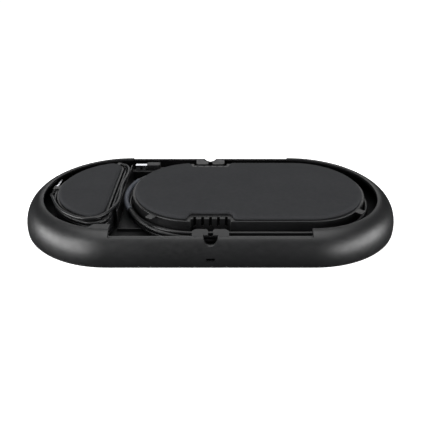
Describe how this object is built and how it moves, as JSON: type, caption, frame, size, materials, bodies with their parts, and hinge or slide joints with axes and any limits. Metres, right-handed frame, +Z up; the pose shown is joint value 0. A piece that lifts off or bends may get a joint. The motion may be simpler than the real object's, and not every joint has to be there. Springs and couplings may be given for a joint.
{
  "type": "conference speakerphone",
  "caption": "Low stadium-shaped desktop speakerphone lying underside up: rubber foot pads on winding hubs, stowed USB and audio leads, sprung push keys on the face it lies on.",
  "frame": {"origin": "middle of the flat face it lies on, which is its top in use", "axes": "+Z up through the cable bay (the underside in use), +X along the body away from the audio lead's hub, +Y to the back"},
  "size_m": [0.3338, 0.1706, 0.0286],
  "materials": {
    "shell": "satin moulded black",
    "tray": "matte moulded black",
    "foot_pad": "soft charcoal rubber",
    "key": "satin black",
    "grille": "black powder coat",
    "lead": "satin black cable jacket",
    "plug_moulding": "satin black",
    "plug_metal": "bright nickel plate",
    "tag": "blue-grey film",
    "grommet": "black rubber",
    "steel": "zinc plate",
    "speaker_frame": "black",
    "cone": "pressed black",
    "board": "green solder resist",
    "chip": "black epoxy",
    "ribbon": "amber film",
    "light": "clear light pipe"
  },
  "bodies": {
    "housing": {"outer_shell": "shell", "top_cover": "shell", "cable_tray": "tray", "large_hub": "tray", "small_hub": "tray", "large_foot_pad": "foot_pad", "small_foot_pad": "foot_pad", "speaker_grille": "grille", "usb_coil": "lead", "usb_lead": "lead", "aux_coil": "lead", "aux_lead": "lead", "usb_plug_body": "plug_moulding", "usb_strain_relief": "plug_moulding", "aux_plug_boot": "plug_moulding", "usb_plug_shell": "plug_metal", "aux_plug_collar": "plug_metal", "aux_plug_pin": "plug_metal", "cable_tag": "tag", "usb_grommet": "grommet", "aux_grommet": "grommet", "lock_plate": "steel", "woofer_magnet": "steel", "tweeter_magnet": "steel", "shield_can": "steel", "hub_screw_1": "steel", "hub_screw_2": "steel", "hub_screw_3": "steel", "hub_screw_4": "steel", "hub_screw_5": "steel", "hub_screw_6": "steel", "woofer_frame": "speaker_frame", "tweeter_frame": "speaker_frame", "woofer_cone": "cone", "tweeter_cone": "cone", "main_board": "board", "key_board": "board", "front_microphone": "board", "back_microphone": "board", "left_microphone": "board", "right_microphone": "board", "processor": "chip", "amplifier_chip": "chip", "left_capacitor": "chip", "right_capacitor": "chip", "ribbon_cable": "ribbon", "status_light": "light"},
    "volume_down_key": {"volume_down_key": "key"},
    "answer_key": {"answer_key": "key"},
    "mute_key": {"mute_key": "key"},
    "hang_up_key": {"hang_up_key": "key"},
    "volume_up_key": {"volume_up_key": "key"}
  },
  "joints": [
    {"name": "volume_down_key_press", "type": "slide", "parent": "housing", "child": "volume_down_key", "axis": [0, 0, 1], "range_m": [0, 0.0008], "stiffness_N_per_m": 400, "springref_m": -0.0005},
    {"name": "answer_key_press", "type": "slide", "parent": "housing", "child": "answer_key", "axis": [0, 0, 1], "range_m": [0, 0.0008], "stiffness_N_per_m": 400, "springref_m": -0.0005},
    {"name": "mute_key_press", "type": "slide", "parent": "housing", "child": "mute_key", "axis": [0, 0, 1], "range_m": [0, 0.0008], "stiffness_N_per_m": 400, "springref_m": -0.0005},
    {"name": "hang_up_key_press", "type": "slide", "parent": "housing", "child": "hang_up_key", "axis": [0, 0, 1], "range_m": [0, 0.0008], "stiffness_N_per_m": 400, "springref_m": -0.0005},
    {"name": "volume_up_key_press", "type": "slide", "parent": "housing", "child": "volume_up_key", "axis": [0, 0, 1], "range_m": [0, 0.0008], "stiffness_N_per_m": 400, "springref_m": -0.0005}
  ]
}
